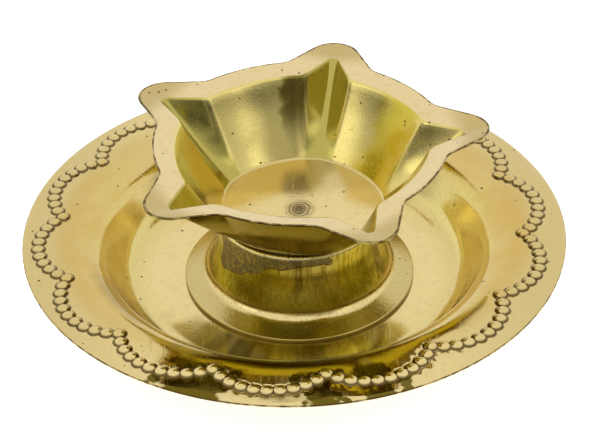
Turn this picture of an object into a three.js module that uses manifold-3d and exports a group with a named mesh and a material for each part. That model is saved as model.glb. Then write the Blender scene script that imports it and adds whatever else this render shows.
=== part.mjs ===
// Brass diya: an oil lamp with a star shaped bowl for five wicks. The bowl stands on a
// hollow spun stem, and the stem on a round drip plate with a beaded, scalloped border.
// Lengths are in millimetres, angles in degrees, +Z is up. The origin is in the middle
// of the plate's underside, and -Y is the lamp's front.

import * as THREE from 'three';
import { mergeVertices } from 'three/addons/utils/BufferGeometryUtils.js';
import Module from 'manifold-3d';

const wasm = await Module();
wasm.setup();

// Plate, pressed from sheet: a flat floor, a hollowed wall and a level flange
const plateRadius = 62.5;
const plateSheet = 0.6;
const plateBrimWidth = 28.1;
const plateFloorRadius = plateRadius - plateBrimWidth;
const plateDepth = 13.3;
const plateWallAngle = 60;
const plateCoveRadius = 7;
const plateShoulderRadius = 8.5;

// Beaded border on the plate's flange, a little off the plate's middle
const scallopCount = 14;
const beadsPerScallop = 10;
const scallopCrestInset = 4.35;
const scallopDepth = 4.75;
const scallopCrestRadius = plateRadius - scallopCrestInset;
const scallopCuspRadius = scallopCrestRadius - scallopDepth;
const firstCuspAngle = 20.2;
const borderOffsetX = -0.7;
const borderOffsetY = 0.2;
const beadAlong = 2.6;
const beadAcross = 3.5;
const beadHeight = 0.85;

// Stem, spun from sheet: a low coned foot, a waisted wall and a top turned in under the bowl
const stemSheet = 0.6;
const stemHeight = 17.7;
const stemWaistRadius = 18.2;
const stemWaistBelowTop = 4.7;
const stemWaistHeight = stemHeight - stemWaistBelowTop;
const stemWaistRound = 10;
const stemBellySwell = 0.95;
const stemBellyRadius = stemWaistRadius + stemBellySwell;
const stemBellyHeight = stemHeight / 2;
const stemBellyRound = 10;
const stemFootSwell = 3.2;
const stemFootRadius = stemWaistRadius + stemFootSwell;
const stemFootHeight = 2.5;
const stemFootRound = 3;
const footWidth = 5.4;
const footRadius = stemFootRadius + footWidth;
const footEdgeHeight = 0.8;
const footEdgeRound = 0.6;
const stemTopFlare = 1;
const stemTopRadius = stemWaistRadius + stemTopFlare;
const stemTopRound = 1.6;
const stemLipWidth = 5.7;
const stemMouthRadius = stemTopRadius - stemLipWidth;
const stemOffsetX = 1.1;
const stemOffsetY = 0.2;

// Bowl, pressed from sheet: a round floor, five panels, five wick channels and a star flange
const pointCount = 5;
const firstPointAngle = -67.4;
const bowlSheet = 0.6;
const bowlDepth = 17.1;
const bowlOffsetX = 1.9;
const bowlOffsetY = 0.4;
const bowlSetback = 0.9;
const bowlFloorRadius = stemTopRadius - bowlSetback;
const bowlFloorCorner = 0.3;
const bowlFloorRound = 1.5;
const bowlRimRound = 1.8;
const flangeRise = 1.3;
const flangeOutline = {
  point: 42.8,
  pointRound: 6.2,
  notch: 33.4,
  notchAngle: 18,
  panel: 33.2,
  panelBend: 36,
  blend: 1.2,
};
const cavityOutline = {
  point: 37.4,
  pointRound: 1.2,
  notch: 28.2,
  notchAngle: 12,
  panel: 28.3,
  panelBend: 40,
  blend: 1.4,
};

// Solder seams: a flat ring between stem and bowl, and a bead inside the foot
const solderFilm = 0.1;
const solderClearance = 0.3;
const bowlSeamThickness = 0.3;
const bowlSeamWidth = 2.4;
const bowlSeamInset = 2.4;
const footSeamWidth = 1.6;
const footSeamHeight = 0.4;

// Fineness of the facets
const plateFacets = 56;
const stemFacets = 40;
const beadFacets = 6;
const facetsPerPoint = 20;
const facetCrowding = 1.5;
const degreesPerFacet = 26;
const filletSteps = 3;

const plateTop = plateSheet;
const stemBottom = plateTop + solderFilm;
const stemTop = stemBottom + stemHeight;
const bowlSeamBottom = stemTop + solderFilm;
const bowlBottom = bowlSeamBottom + bowlSeamThickness + solderFilm;

const radians = THREE.MathUtils.degToRad;

function brass(colour, roughness) {
  return new THREE.MeshStandardMaterial({ color: colour, roughness, metalness: 1 });
}

const polishedBrass = brass(0xd8b45c, 0.22);
const spunBrass = brass(0xc2a13c, 0.3);
const greySolder = new THREE.MeshStandardMaterial({ color: 0x8a867c, roughness: 0.6, metalness: 0.8 });

// Points of the arc that rounds a corner. Without a count of steps, the turn sets it.
function roundedCorner([previous, corner, next], round, fixedSteps) {
  const before = previous.clone().sub(corner).normalize();
  const after = next.clone().sub(corner).normalize();
  const halfOpening = Math.acos(THREE.MathUtils.clamp(before.dot(after), -1, 1)) / 2;
  const turn = Math.PI - 2 * halfOpening;
  const middle = before.clone().add(after).normalize();
  const centre = corner.clone().addScaledVector(middle, round / Math.sin(halfOpening));
  const start = corner.clone().addScaledVector(before, round / Math.tan(halfOpening));
  const side = Math.sign(before.x * after.y - before.y * after.x);
  const steps = fixedSteps ?? Math.max(1, Math.round(turn / radians(degreesPerFacet)));
  const points = [];
  for (let step = 0; step <= steps; step += 1) {
    points.push(start.clone().rotateAround(centre, -side * turn * step / steps));
  }
  return points;
}

// The line through the corners, with each inner corner rounded to its own radius.
function roundedLine(corners) {
  const places = corners.map(({ r, z }) => new THREE.Vector2(r, z));
  const points = [places[0]];
  for (let i = 1; i < corners.length - 1; i += 1) {
    points.push(...roundedCorner(places.slice(i - 1, i + 2), corners[i].round));
  }
  points.push(places[places.length - 1]);
  return points;
}

// The line that runs beside another one, at a distance to its left.
function besideLine(points, distance) {
  const normals = points.slice(1).map((point, i) => {
    const along = point.clone().sub(points[i]).normalize();
    return new THREE.Vector2(-along.y, along.x);
  });
  return points.map((point, i) => {
    const before = normals[Math.max(i - 1, 0)];
    const after = normals[Math.min(i, normals.length - 1)];
    const mitre = before.clone().add(after).divideScalar(1 + before.dot(after));
    return point.clone().addScaledVector(mitre, distance);
  });
}

// A ring turned about Z from a section that runs anticlockwise, with r to the right and z up.
function turned(section, facets) {
  return new THREE.LatheGeometry(section, facets).rotateX(Math.PI / 2);
}

// Sheet metal turned about Z, from the line of one face and the sheet's thickness to its left.
function turnedSheet(line, sheet, facets) {
  const section = [...line, ...besideLine(line, sheet).reverse()];
  if (line[0].x > 0) {
    section.push(line[0].clone());
  }
  return turned(section, facets);
}

// A closed solid from a geometry, without the flat triangles that a lathe leaves on its axis.
function solidOf(geometry) {
  const bare = geometry.clone();
  bare.deleteAttribute('normal');
  bare.deleteAttribute('uv');
  const merged = mergeVertices(bare);
  const corners = merged.index.array;
  const kept = [];
  for (let i = 0; i < corners.length; i += 3) {
    const [a, b, c] = corners.slice(i, i + 3);
    if (a !== b && b !== c && c !== a) {
      kept.push(a, b, c);
    }
  }
  return new wasm.Manifold(new wasm.Mesh({
    numProp: 3,
    vertProperties: new Float32Array(merged.attributes.position.array),
    triVerts: new Uint32Array(kept),
  }));
}

function geometryOf(solid) {
  const { vertProperties, triVerts } = solid.getMesh();
  return geometryFrom(vertProperties, triVerts);
}

function geometryFrom(positions, corners) {
  const geometry = new THREE.BufferGeometry();
  geometry.setAttribute('position', new THREE.Float32BufferAttribute(positions, 3));
  geometry.setIndex(Array.from(corners));
  geometry.computeVertexNormals();
  return geometry;
}

// Places of the beads: each scallop is one arc that bulges outwards between two cusps.
function beadPlaces() {
  const halfScallop = Math.PI / scallopCount;
  const halfChord = scallopCuspRadius * Math.sin(halfScallop);
  const rise = scallopCrestRadius - scallopCuspRadius * Math.cos(halfScallop);
  const bend = (halfChord ** 2 + rise ** 2) / (2 * rise);
  const halfSweep = Math.asin(halfChord / bend);
  const places = [];
  for (let scallop = 0; scallop < scallopCount; scallop += 1) {
    const middle = radians(firstCuspAngle) + halfScallop * (2 * scallop + 1);
    for (let bead = 0; bead < beadsPerScallop; bead += 1) {
      const sweep = halfSweep * (2 * bead / beadsPerScallop - 1);
      const place = new THREE.Vector2(scallopCrestRadius - bend + bend * Math.cos(sweep), bend * Math.sin(sweep));
      place.rotateAround(new THREE.Vector2(), middle);
      places.push({ place, facing: middle + sweep });
    }
  }
  return places;
}

// One bead: a low dome whose base is sunk into the flange.
function beadGeometry() {
  const section = [
    new THREE.Vector2(0, -0.5),
    new THREE.Vector2(0.96, -0.3),
    new THREE.Vector2(0.8, 0.6),
    new THREE.Vector2(0, 1),
  ];
  return turned(section, beadFacets).scale(beadAcross / 2, beadAlong / 2, beadHeight);
}

function plateLine() {
  const slope = radians(plateWallAngle);
  const cove = plateCoveRadius + plateSheet;
  const wallFoot = plateFloorRadius + cove * Math.tan(slope / 2);
  return roundedLine([
    { r: 0, z: 0 },
    { r: wallFoot, z: 0, round: cove },
    { r: wallFoot + plateDepth / Math.tan(slope), z: plateDepth, round: plateShoulderRadius - plateSheet },
    { r: plateRadius, z: plateDepth },
  ]);
}

function plateGeometry() {
  let plate = solidOf(turnedSheet(plateLine(), plateSheet, plateFacets));
  const bead = beadGeometry();
  for (const { place, facing } of beadPlaces()) {
    const placed = bead.clone().rotateZ(facing);
    placed.translate(place.x + borderOffsetX, place.y + borderOffsetY, plateDepth + plateSheet);
    plate = plate.add(solidOf(placed));
  }
  return geometryOf(plate);
}

function stemGeometry() {
  const line = roundedLine([
    { r: footRadius, z: 0 },
    { r: footRadius, z: footEdgeHeight, round: footEdgeRound },
    { r: stemFootRadius, z: stemFootHeight, round: stemFootRound },
    { r: stemBellyRadius, z: stemBellyHeight, round: stemBellyRound },
    { r: stemWaistRadius, z: stemWaistHeight, round: stemWaistRound },
    { r: stemTopRadius, z: stemHeight, round: stemTopRound },
    { r: stemMouthRadius, z: stemHeight },
  ]);
  return turnedSheet(line, stemSheet, stemFacets);
}

// Radius of a star outline at an angle from one of its points: a rounded point, a straight
// side that touches it, and between the notches a panel edge of its own bend.
function outlineRadius(outline, angle) {
  const centre = outline.point - outline.pointRound;
  const notchX = outline.notch * Math.cos(radians(outline.notchAngle)) - centre;
  const notchY = outline.notch * Math.sin(radians(outline.notchAngle));
  const towards = Math.atan2(notchY, notchX);
  const touching = towards - Math.acos(outline.pointRound / Math.hypot(notchX, notchY));
  const sideDistance = centre * Math.cos(touching) + outline.pointRound;
  const touchY = outline.pointRound * Math.sin(touching);
  const touchAngle = Math.atan2(touchY, centre + outline.pointRound * Math.cos(touching));
  const point = angle < touchAngle
    ? arcRadius(centre, outline.pointRound, angle)
    : sideDistance / Math.cos(touching - angle);
  const panelCentre = outline.panel - outline.panelBend;
  const panel = arcRadius(panelCentre, outline.panelBend, Math.PI / pointCount - angle);
  return blendedLarger(point, panel, outline.blend);
}

// Radius, at an angle, of an arc whose centre lies at a distance along the zero angle.
function arcRadius(centre, radius, angle) {
  return centre * Math.cos(angle) + Math.sqrt(radius ** 2 - (centre * Math.sin(angle)) ** 2);
}

function blendedLarger(a, b, blend) {
  const share = THREE.MathUtils.clamp(0.5 + 0.5 * (a - b) / blend, 0, 1);
  return THREE.MathUtils.lerp(b, a, share) + blend * share * (1 - share);
}

// The bowl's upper face at an angle from the nearest point: floor, wall and rising flange.
function bowlLine(angle) {
  const floor = bowlFloorRadius + bowlFloorCorner * Math.cos(pointCount * angle);
  const rim = bowlSheet + bowlDepth;
  const middle = new THREE.Vector2(0, bowlSheet);
  const floorEdge = new THREE.Vector2(floor, bowlSheet);
  const cavityEdge = new THREE.Vector2(outlineRadius(cavityOutline, angle), rim);
  const flangeEdge = new THREE.Vector2(outlineRadius(flangeOutline, angle), rim + flangeRise);
  return [
    ...roundedCorner([middle, floorEdge, cavityEdge], bowlFloorRound, filletSteps),
    ...roundedCorner([floorEdge, cavityEdge, flangeEdge], bowlRimRound, filletSteps),
    flangeEdge,
  ];
}

// Angles round the bowl, crowded towards the points, each with its angle from the nearest point.
function bowlAngles() {
  const half = facetsPerPoint / 2;
  const angles = [];
  for (let point = 0; point < pointCount; point += 1) {
    for (let step = -half; step < half; step += 1) {
      const away = (Math.PI / pointCount) * (Math.abs(step) / half) ** facetCrowding;
      angles.push({ around: (2 * Math.PI * point) / pointCount + Math.sign(step) * away, away });
    }
  }
  return angles;
}

// The bowl's upper face as columns of points, and a lower face one sheet below along the normals.
function bowlGeometry() {
  const columns = bowlAngles().map(({ around, away }) => bowlLine(away).map(
    (point) => new THREE.Vector3(point.x * Math.cos(around), point.x * Math.sin(around), point.y),
  ));
  const count = columns.length;
  const rows = columns[0].length;
  const lower = columns.map((column, i) => column.map((point, j) => {
    const across = columns[(i + 1) % count][j].clone().sub(columns[(i + count - 1) % count][j]);
    const outwards = column[Math.min(j + 1, rows - 1)].clone().sub(column[Math.max(j - 1, 0)]);
    const level = j === 0 || j === rows - 1;
    const normal = level ? new THREE.Vector3(0, 0, 1) : outwards.cross(across).normalize();
    return point.clone().addScaledVector(normal, -bowlSheet);
  }));
  const middle = new THREE.Vector3(0, 0, bowlSheet);
  return closedSheet(columns, lower, middle, new THREE.Vector3());
}

// Joins two faces, given as columns from the inside out, at their outer edge and at their middles.
function closedSheet(upper, lower, upperMiddle, lowerMiddle) {
  const count = upper.length;
  const rows = upper[0].length;
  const positions = [...upperMiddle.toArray(), ...lowerMiddle.toArray()];
  for (const point of [...upper.flat(), ...lower.flat()]) {
    positions.push(...point.toArray());
  }
  const up = (i, j) => 2 + (i % count) * rows + j;
  const down = (i, j) => 2 + (count + (i % count)) * rows + j;
  const corners = [];
  for (let i = 0; i < count; i += 1) {
    corners.push(0, up(i, 0), up(i + 1, 0));
    corners.push(1, down(i + 1, 0), down(i, 0));
    for (let j = 0; j < rows - 1; j += 1) {
      corners.push(up(i, j), up(i, j + 1), up(i + 1, j + 1), up(i, j), up(i + 1, j + 1), up(i + 1, j));
      corners.push(down(i, j), down(i + 1, j + 1), down(i, j + 1));
      corners.push(down(i, j), down(i + 1, j), down(i + 1, j + 1));
    }
    const edge = rows - 1;
    corners.push(up(i, edge), down(i, edge), down(i + 1, edge));
    corners.push(up(i, edge), down(i + 1, edge), up(i + 1, edge));
  }
  return geometryFrom(positions, corners);
}

// Solder between the stem's turned in top and the bowl's floor: a flat ring.
function bowlSeamGeometry() {
  const outer = stemTopRadius - bowlSeamInset;
  const section = [
    new THREE.Vector2(outer - bowlSeamWidth, 0),
    new THREE.Vector2(outer, 0),
    new THREE.Vector2(outer, bowlSeamThickness),
    new THREE.Vector2(outer - bowlSeamWidth, bowlSeamThickness),
    new THREE.Vector2(outer - bowlSeamWidth, 0),
  ];
  return turned(section, stemFacets);
}

// Solder inside the foot, in the corner between the coned foot and the plate's floor.
function footSeamGeometry() {
  const outer = footRadius - stemSheet - solderClearance;
  const section = [
    new THREE.Vector2(outer - footSeamWidth, 0),
    new THREE.Vector2(outer, 0),
    new THREE.Vector2(outer, footSeamHeight / 3),
    new THREE.Vector2(outer - footSeamWidth / 2, footSeamHeight),
    new THREE.Vector2(outer - footSeamWidth, footSeamHeight / 3),
    new THREE.Vector2(outer - footSeamWidth, 0),
  ];
  return turned(section, stemFacets);
}

function named(name, geometry, material, x, y, z) {
  const mesh = new THREE.Mesh(geometry, material);
  mesh.name = name;
  mesh.position.set(x, y, z);
  return mesh;
}

const lamp = new THREE.Group();
lamp.add(named('plate', plateGeometry(), polishedBrass, 0, 0, 0));

const upright = new THREE.Group();
upright.position.set(stemOffsetX, stemOffsetY, 0);
upright.add(named('stem', stemGeometry(), spunBrass, 0, 0, stemBottom));
upright.add(named('foot_solder', footSeamGeometry(), greySolder, 0, 0, stemBottom));
upright.add(named('bowl_solder', bowlSeamGeometry(), greySolder, 0, 0, bowlSeamBottom));
lamp.add(upright);

const bowl = named('bowl', bowlGeometry(), polishedBrass, bowlOffsetX, bowlOffsetY, bowlBottom);
bowl.rotation.z = radians(firstPointAngle);
lamp.add(bowl);

export default lamp;
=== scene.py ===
# Brass diya: the looks of an oil lamp with a star shaped bowl on a spun stem, which stands
# in a round plate with a beaded, scalloped border. Lengths are in millimetres and angles in
# degrees unless a name says otherwise, and the meshes are made in metres.

import math

import bpy
import numpy as np
from mathutils import Matrix, Vector


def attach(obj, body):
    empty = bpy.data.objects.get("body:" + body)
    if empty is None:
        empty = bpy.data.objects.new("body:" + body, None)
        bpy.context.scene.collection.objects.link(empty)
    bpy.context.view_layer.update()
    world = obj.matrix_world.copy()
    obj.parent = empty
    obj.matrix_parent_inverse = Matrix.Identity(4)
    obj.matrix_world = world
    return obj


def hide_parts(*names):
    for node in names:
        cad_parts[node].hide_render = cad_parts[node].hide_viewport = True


MM = 0.001

# Plate
PLATE_RADIUS = 62.5
PLATE_SHEET = 0.6
PLATE_FLOOR_RADIUS = 34.4
PLATE_DEPTH = 13.3
PLATE_WALL_ANGLE = 60
PLATE_COVE_RADIUS = 7
PLATE_SHOULDER_RADIUS = 8.5
PLATE_EDGE_ROUND = 0.2
PLATE_SUPPORT_INSET = 0.6

# Beaded border, a little off the plate's middle
SCALLOP_COUNT = 14
BEADS_PER_SCALLOP = 10
SCALLOP_CUSP_RADIUS = 53.4
SCALLOP_CREST_RADIUS = 58.15
FIRST_CUSP_ANGLE = 20.2
BEAD_ALONG = 3.0
BEAD_ACROSS = 3.1
BEAD_HEIGHT = 0.75
BEAD_STEEPNESS = 0.62
BEAD_GROOVE = 0.1
BEAD_GROOVE_REACH = 1.08
BEAD_GROOVE_SPREAD = 0.1
BORDER_HALF_WIDTH = 2.2
BORDER_OFFSET_X = -0.7
BORDER_OFFSET_Y = 0.2
BORDER_CLEAR_RADIUS = 49.5
BORDER_SIDE_ROWS = 4

# Stem
STEM_SHEET = 0.6
STEM_HEIGHT = 17.7
FOOT_RADIUS = 26.8
FOOT_EDGE_HEIGHT = 0.8
FOOT_EDGE_ROUND = 0.3
STEM_FOOT_RADIUS = 21.4
STEM_FOOT_HEIGHT = 2.5
STEM_FOOT_ROUND = 3
STEM_BELLY_RADIUS = 19.15
STEM_BELLY_HEIGHT = 8.85
STEM_BELLY_ROUND = 10
STEM_WAIST_RADIUS = 18.2
STEM_WAIST_HEIGHT = 13
STEM_WAIST_ROUND = 10
STEM_TOP_RADIUS = 19
STEM_TOP_ROUND = 0.8
STEM_MOUTH_RADIUS = 13.5
STEM_CENTRE = (1.1, 0.2)
STEM_SUPPORT_INSET = 0.3

# Bowl
POINT_COUNT = 5
FIRST_POINT_ANGLE = -67.4
BOWL_SHEET = 0.6
BOWL_DEPTH = 17.1
BOWL_CENTRE = (1.9, 0.4)
BOWL_FLOOR_RADIUS = 18.7
BOWL_FLOOR_CORNER = 0.3
BOWL_FLOOR_ROUND = 0.9
BOWL_WALL_BULGE = 0.25
BOWL_RIM_ROUND = 1.8
FLANGE_RISE = 1.3
FLANGE_OUTLINE = dict(
    point=42.8, point_round=6.2, notch=33.4, notch_angle=18, panel=33.2, panel_bend=36, blend=1.2
)
CAVITY_OUTLINE = dict(
    point=37.4, point_round=1.2, notch=28.2, notch_angle=12, panel=28.3, panel_bend=40, blend=1.4
)

# Solder
SOLDER_FILM = 0.1
BOWL_SEAM_THICKNESS = 0.3
BOWL_SEAM_WIDTH = 2.9
BOWL_SEAM_INSET = 1.6
FOOT_SEAM_WIDTH = 1.6
FOOT_SEAM_HEIGHT = 0.4
FOOT_SEAM_GAP = 0.3
FOOT_SEAM_ROUND = 0.4
SEAM_EDGE_ROUND = 0.05

# Fineness of the meshes
COLUMNS_PER_BEAD = 8
STEM_COLUMNS = 256
COLUMNS_PER_POINT = 96
DEGREES_PER_STEP = 6
BORDER_UPPER_ROWS = 16
BORDER_LOWER_ROWS = 9
BOWL_ARC_STEPS = 8
BOWL_WALL_STEPS = 14
BOWL_CROWDING = 1.5
BOWL_FLOOR_SHARES = (0.3, 0.6, 0.85, 0.97)
FLANGE_SHARES = (0.05, 0.5, 0.88)
SHEET_CREASE_ANGLE = 60
STEM_CREASE_ANGLE = 50

STEM_BOTTOM = PLATE_SHEET + SOLDER_FILM
STEM_TOP = STEM_BOTTOM + STEM_HEIGHT
BOWL_SEAM_BOTTOM = STEM_TOP + SOLDER_FILM
BOWL_BOTTOM = BOWL_SEAM_BOTTOM + BOWL_SEAM_THICKNESS + SOLDER_FILM

# Colours of the brass, its grime and the solder, and of its painted reflections and painted shade
CREAM_BRASS = (0.81, 0.645, 0.29)
TAN_BRASS = (0.74, 0.57, 0.23)
DULL_TAN_BRASS = (0.72, 0.585, 0.22)
DEEP_TAN_BRASS = (0.66, 0.43, 0.11)
PALE_BRASS = (0.81, 0.645, 0.34)
YELLOW_BRASS = (0.77, 0.63, 0.21)
WALL_YELLOW_BRASS = (0.84, 0.78, 0.26)
BRIGHT_YELLOW_BRASS = (0.86, 0.78, 0.12)
OLIVE_BRASS = (0.58, 0.53, 0.06)
SIDE_BRASS = (0.60, 0.47, 0.03)
PALE_OLIVE_BRASS = (0.78, 0.72, 0.30)
# Darker brass for the painted shade on the bowl's underside
SHADED_UNDERSIDE_BRASS = (0.36, 0.29, 0.015)
DARK_OLIVE_BRASS = (0.36, 0.29, 0.012)
# Duller brass for the painted shade in the wick channels
CHANNEL_BRASS = (0.48, 0.41, 0.10)
CONE_BRASS = (0.62, 0.50, 0.20)
DIM_BRASS = (0.56, 0.43, 0.17)
# Dark brass for painted reflections and painted shade
PAINTED_DARK_BRASS = (0.14, 0.10, 0.006)
# Brown for pits, marks, burrs and solder edges, and for painted shade round the beads and along
# the edges
BROWN_GRIME_AND_SHADE = (0.10, 0.06, 0.015)
GREY_SOLDER = (0.22, 0.18, 0.15)
PALE_SOLDER = (0.42, 0.38, 0.30)
WHITE = (1, 1, 1)
PAPER = (0.93, 0.93, 0.93)
LIGHT_PAPER = (0.95, 0.95, 0.95)

# Soft rings on the plate: the radii where each starts, is full, starts to fade and ends
WALL_RING = (32, 39, 50, 58)
STEEP_WALL_RING = (38, 40, 44, 47)
DEEP_TAN_RING = (41, 46, 51, 57)
# Rings of the painted dark reflections in the plate's front
FLOOR_DARK_REFLECTION_RING = (26, 28, 34, 36)
WALL_DARK_REFLECTION_RING = (36, 38, 47, 50)
SHOULDER_DARK_REFLECTION_RING = (44, 46, 50, 52)

# Upright bands of painted reflection, light and dark: each one's angle, half width and strength
PLATE_CENTRE = (0, 0)
WALL_BRIGHT_REFLECTION = ((-10, 60, 0.6), (178, 40, 0.3))
FLOOR_DARK_REFLECTION = ((-98, 62, 0.75),)
WALL_DARK_REFLECTION = ((-146, 24, 0.4),)
SHOULDER_DARK_REFLECTION = ((-93, 38, 0.7),)
BRIM_DARK_REFLECTION = ((-111.5, 9, 0.98), (-85.5, 5.5, 0.98), (-73, 4.5, 0.95))
BOWL_LEFT_REFLECTION = ((185, 32, 0.7),)
BOWL_RIGHT_REFLECTION = ((32, 19, 0.8),)
BOWL_SPOT_REFLECTION = ((92, 11, 0.88),)
BRIGHT_CHANNEL = ((4.6, 30, 0.9),)
STEM_PALE_REFLECTION = ((-80, 28, 0.9),)
STEM_BRIGHT_REFLECTION = ((-137, 20, 0.9), (-52, 14, 0.9))
STEM_DARK_REFLECTION = ((-128, 24, 0.95), (-54, 28, 0.95))
STEM_MIDDLE_REFLECTION = ((-92, 6, 0.9),)
STEM_SIDE_REFLECTIONS = ((-22, 11, 0.8), (-178, 10, 0.7))
CONE_FRONT_REFLECTION = ((-91, 34, 0.25),)

# Solder smear on the stem: its ends as angles, its lower edge at both ends and its soft margins
SMEAR_LEFT = -160
SMEAR_RIGHT = -68
SMEAR_SLOPE = (-158, -92, 8.8, 15.1)
SMEAR_BELOW_TOP = 0.7
SMEAR_SIDE_MARGIN = 1.4
SMEAR_END_MARGIN = 8.0

# Dark spinning mark on the bowl's floor
MARK_CENTRE = (1.4, -1.3)
MARK_WOBBLE = 2.4
MARK_RINGS = 7.0

# Soft lights and dark gaps in the tent: azimuth, elevation, half width and strength
LIGHT_PATCHES = (
    (-155, 27, 14, 0.5),
    (-38, 30, 12, 0.35),
    (-60, 25, 22, -0.45),
    (-77, 27, 9, -0.3),
    (-92, 23, 11, -0.6),
)
PATCH_CORE_SHARE = 0.35
LEAST_LIGHT = 0.04
FLOOR_REACH = 3000
FLOOR_LIFT = 0.7

# The photograph's camera, fitted to it
CAMERA_ELEVATION = 35.73
CAMERA_ROLL = -1.22
CAMERA_DISTANCE = 450
CAMERA_TARGET = (0.40, 21.98, 0.6)
CAMERA_LENS = 110.26
CAMERA_SHIFT_X = 0.0069
CAMERA_SHIFT_Y = 0.0012


# Lines and sections


def rounded_corner(before, corner, after, radius, steps=None):
    """Points of the arc that rounds a corner, in steps of a few degrees unless told otherwise."""
    here = np.array(corner, float)
    towards = np.array(before, float) - here
    away = np.array(after, float) - here
    towards /= np.linalg.norm(towards)
    away /= np.linalg.norm(away)
    half_opening = math.acos(np.clip(towards @ away, -1, 1)) / 2
    turn = math.pi - 2 * half_opening
    middle = (towards + away) / np.linalg.norm(towards + away)
    centre = here + middle * radius / math.sin(half_opening)
    spoke = here + towards * radius / math.tan(half_opening) - centre
    side = -np.sign(towards[0] * away[1] - towards[1] * away[0])
    steps = steps or max(2, round(math.degrees(turn) / DEGREES_PER_STEP))
    return [centre + rotated(spoke, side * turn * step / steps) for step in range(steps + 1)]


def rounded_line(corners):
    """Points of the line through (r, z, round) corners, with each inner corner rounded."""
    points = [np.array(corners[0][:2], float)]
    for before, corner, after in zip(corners, corners[1:], corners[2:]):
        points += rounded_corner(before[:2], corner[:2], after[:2], corner[2])
    points.append(np.array(corners[-1][:2], float))
    return np.array(points)


def points_between(start, end, shares):
    """Points at shares of the way from one point to another."""
    return [start + (end - start) * share for share in shares]


def rotated(vector, angle):
    """A plane vector turned anticlockwise by an angle in radians."""
    cos, sin = math.cos(angle), math.sin(angle)
    return np.array([vector[0] * cos - vector[1] * sin, vector[0] * sin + vector[1] * cos])


def with_supports(line, inset):
    """The line with an extra point near both ends of each long segment, for even shading."""
    points = [line[0]]
    for start, end in zip(line, line[1:]):
        length = np.linalg.norm(end - start)
        if length > 3 * inset:
            points.append(start + (end - start) * inset / length)
            points.append(end + (start - end) * inset / length)
        points.append(end)
    return np.array(points)


def beside_line(line, distance):
    """The line that runs beside another one, at a distance to its left."""
    along = np.diff(line, axis=0)
    along /= np.linalg.norm(along, axis=1)[:, None]
    normals = np.stack([-along[:, 1], along[:, 0]], axis=1)
    before = np.vstack([normals[:1], normals])
    after = np.vstack([normals, normals[-1:]])
    mitre = (before + after) / (1 + np.sum(before * after, axis=1))[:, None]
    return line + mitre * distance


# Meshes


def placed(name, vertices, faces):
    """A smooth shaded object in the scene, from vertices in millimetres."""
    mesh = bpy.data.meshes.new(name)
    mesh.from_pydata((np.asarray(vertices) * MM).tolist(), [], faces)
    mesh.validate()
    mesh.polygons.foreach_set("use_smooth", [True] * len(mesh.polygons))
    thing = bpy.data.objects.new(name, mesh)
    bpy.context.scene.collection.objects.link(thing)
    return thing


def crease_edges(thing, degrees):
    """Edges sharper than an angle are shaded as edges, and all others as one smooth face."""
    thing.data.set_sharp_from_angle(angle=math.radians(degrees))


def spun(line, columns, centre=(0, 0), base=0):
    """Columns of points round Z, from a line of (r, z) points."""
    angles = np.arange(columns) * 2 * math.pi / columns
    x = centre[0] + np.outer(np.cos(angles), line[:, 0])
    y = centre[1] + np.outer(np.sin(angles), line[:, 0])
    z = np.broadcast_to(base + line[:, 1], x.shape)
    return np.stack([x, y, z], axis=2)


def ring_piece(name, columns):
    """A closed ring from columns that each hold one closed section."""
    count, rows = columns.shape[:2]
    faces = []
    for i in range(count):
        for j in range(rows):
            here, beyond = i * rows, ((i + 1) % count) * rows
            after = (j + 1) % rows
            faces.append((here + j, beyond + j, beyond + after, here + after))
    return placed(name, columns.reshape(-1, 3), faces)


def sheet_piece(name, upper, lower):
    """A closed sheet from the columns of its upper and lower face, which run outwards."""
    count, upper_rows = upper.shape[:2]
    lower_rows = lower.shape[1]
    middles = [upper[:, 0].mean(axis=0), lower[:, 0].mean(axis=0)]
    vertices = np.vstack([middles, upper.reshape(-1, 3), lower.reshape(-1, 3)])
    first_lower = 2 + count * upper_rows
    faces = []
    for i in range(count):
        up, up_beyond = 2 + i * upper_rows, 2 + ((i + 1) % count) * upper_rows
        down = first_lower + i * lower_rows
        down_beyond = first_lower + ((i + 1) % count) * lower_rows
        faces.append((0, up, up_beyond))
        faces.append((1, down_beyond, down))
        for j in range(upper_rows - 1):
            faces.append((up + j, up + j + 1, up_beyond + j + 1, up_beyond + j))
        for j in range(lower_rows - 1):
            faces.append((down + j, down_beyond + j, down_beyond + j + 1, down + j + 1))
        edge, lower_edge = upper_rows - 1, lower_rows - 1
        faces.append((up + edge, down + lower_edge, down_beyond + lower_edge, up_beyond + edge))
    thing = placed(name, vertices, faces)
    edge_share = np.zeros(len(vertices))
    edge_share[2 + edge:first_lower:upper_rows] = 1
    edge_share[first_lower + lower_edge::lower_rows] = 1
    thing.data.attributes.new("edge_share", "FLOAT", "POINT").data.foreach_set("value", edge_share)
    return thing


# Plate


def scallop_arc():
    """A scallop is one arc between two cusps: its share of the circle, radius and half sweep."""
    half_scallop = math.pi / SCALLOP_COUNT
    half_chord = SCALLOP_CUSP_RADIUS * math.sin(half_scallop)
    rise = SCALLOP_CREST_RADIUS - SCALLOP_CUSP_RADIUS * math.cos(half_scallop)
    bend = (half_chord**2 + rise**2) / (2 * rise)
    return half_scallop, bend, math.asin(half_chord / bend)


def bead_places():
    """Centre and facing angle of each bead."""
    half_scallop, bend, half_sweep = scallop_arc()
    places = []
    for scallop in range(SCALLOP_COUNT):
        middle = math.radians(FIRST_CUSP_ANGLE) + half_scallop * (2 * scallop + 1)
        for bead in range(BEADS_PER_SCALLOP):
            sweep = half_sweep * (2 * bead / BEADS_PER_SCALLOP - 1)
            across = SCALLOP_CREST_RADIUS - bend + bend * math.cos(sweep)
            x, y = rotated((across, bend * math.sin(sweep)), middle)
            places.append((x + BORDER_OFFSET_X, y + BORDER_OFFSET_Y, middle + sweep))
    return np.array(places)


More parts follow.
